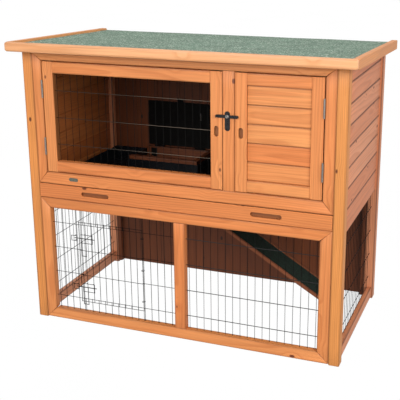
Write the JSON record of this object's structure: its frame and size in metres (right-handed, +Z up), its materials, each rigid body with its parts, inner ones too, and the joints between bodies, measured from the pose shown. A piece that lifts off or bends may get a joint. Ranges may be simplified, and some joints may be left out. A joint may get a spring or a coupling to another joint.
{
  "type": "rabbit hutch",
  "caption": "Two-storey wooden rabbit hutch with a mesh run, hinged doors, a pull-out litter drawer, a ramp and a felt roof.",
  "frame": {"origin": "on the ground, under the middle of the roof outline", "axes": "+Z up, +X to the right seen from the front, the front faces -Y"},
  "size_m": [1.16, 0.668, 0.984],
  "materials": {
    "pine_glazed": "satin",
    "pine_side": "satin",
    "pine_inner": "matte",
    "roofing_felt": "matte",
    "ramp_felt": "matte",
    "black_wire": "satin",
    "black_latch": "gloss",
    "tray_sheet": "gloss",
    "lid_board": "satin",
    "zinc_steel": "satin",
    "badge_plastic": "satin"
  },
  "bodies": {
    "frame": {"front_post_left": "pine_glazed", "front_post_right": "pine_glazed", "rear_post_left": "pine_side", "rear_post_right": "pine_side", "upper_frame": "pine_glazed", "door_mullion": "pine_glazed", "lower_frame": "pine_glazed", "run_mullion": "pine_glazed", "side_boards_left": "pine_side", "side_boards_right": "pine_side", "rear_wall_upper": "pine_inner", "rear_wall_lower": "pine_inner", "rear_rails": "pine_inner", "side_bottom_rails": "pine_side", "floor_runners": "pine_inner", "floor_panel": "pine_inner", "partition": "pine_inner", "roof_frame": "pine_inner", "roof_deck": "pine_inner", "roof_felt": "roofing_felt", "roof_trim_front": "pine_glazed", "roof_trims_side": "pine_glazed", "badge_plate": "badge_plastic", "frame_hinge_leaves": "zinc_steel", "door_hinge_pins": "zinc_steel", "latch_plate": "black_latch", "latch_pivot": "zinc_steel", "run_mesh_left": "black_wire", "run_mesh_right": "black_wire", "side_mesh_left": "black_wire", "side_mesh_right": "black_wire", "wire_door_rings": "zinc_steel", "latch_keepers": "black_wire", "hatch_curb": "pine_inner", "lid_hinge_fixed": "zinc_steel", "ramp_brackets": "zinc_steel"},
    "drawer": {"tray": "tray_sheet", "drawer_front": "pine_glazed", "drawer_screws": "zinc_steel"},
    "mesh_door": {"mesh_door_stiles": "pine_glazed", "mesh_door_rails": "pine_glazed", "mesh_door_mesh": "black_wire", "mesh_door_hinge_leaves": "zinc_steel"},
    "solid_door": {"solid_door_stiles": "pine_glazed", "solid_door_rails": "pine_glazed", "solid_door_boards": "pine_glazed", "solid_door_hinge_leaves": "zinc_steel"},
    "turn_latch": {"latch_bar": "black_latch"},
    "lid": {"hatch_lid": "lid_board", "lid_fittings": "zinc_steel", "lid_hinge_moving": "zinc_steel"},
    "ramp": {"ramp_board": "pine_glazed", "ramp_rails": "pine_glazed", "ramp_felt": "ramp_felt", "ramp_hinge": "zinc_steel"},
    "small_door": {"wire_door": "black_wire", "latch_guides": "black_wire"},
    "upper_bolt": {"wire_latch_upper": "black_wire"},
    "lower_bolt": {"wire_latch_lower": "black_wire"}
  },
  "joints": [
    {"name": "mesh_door_hinge", "type": "hinge", "parent": "frame", "child": "mesh_door", "pos_m": [-0.4766, -0.2872, 0.731], "axis": [0, 0, -1], "range_deg": [0, 105]},
    {"name": "solid_door_hinge", "type": "hinge", "parent": "frame", "child": "solid_door", "pos_m": [0.4766, -0.2872, 0.731], "axis": [0, 0, 1], "range_deg": [0, 105]},
    {"name": "latch_turn", "type": "hinge", "parent": "frame", "child": "turn_latch", "pos_m": [0.174, -0.2896, 0.783], "axis": [0, 1, 0], "range_deg": [0, 90]},
    {"name": "drawer_slide", "type": "slide", "parent": "frame", "child": "drawer", "axis": [0, -1, 0], "range_m": [0, 0.48]},
    {"name": "lid_hinge", "type": "hinge", "parent": "frame", "child": "lid", "pos_m": [-0.231, 0.2745, 0.5151], "axis": [1, 0, 0], "range_deg": [0, 90]},
    {"name": "ramp_hinge_turn", "type": "hinge", "parent": "frame", "child": "ramp", "pos_m": [-0.34135, 0.1985, 0.46975], "axis": [0, -1, 0], "range_deg": [0, 6]},
    {"name": "small_door_hinge", "type": "hinge", "parent": "frame", "child": "small_door", "pos_m": [-0.133, -0.2764, 0.226], "axis": [0, 0, 1], "range_deg": [0, 105]},
    {"name": "upper_bolt_slide", "type": "slide", "parent": "small_door", "child": "upper_bolt", "axis": [1, 0, 0], "range_m": [0, 0.012]},
    {"name": "lower_bolt_slide", "type": "slide", "parent": "small_door", "child": "lower_bolt", "axis": [1, 0, 0], "range_m": [0, 0.012]}
  ]
}
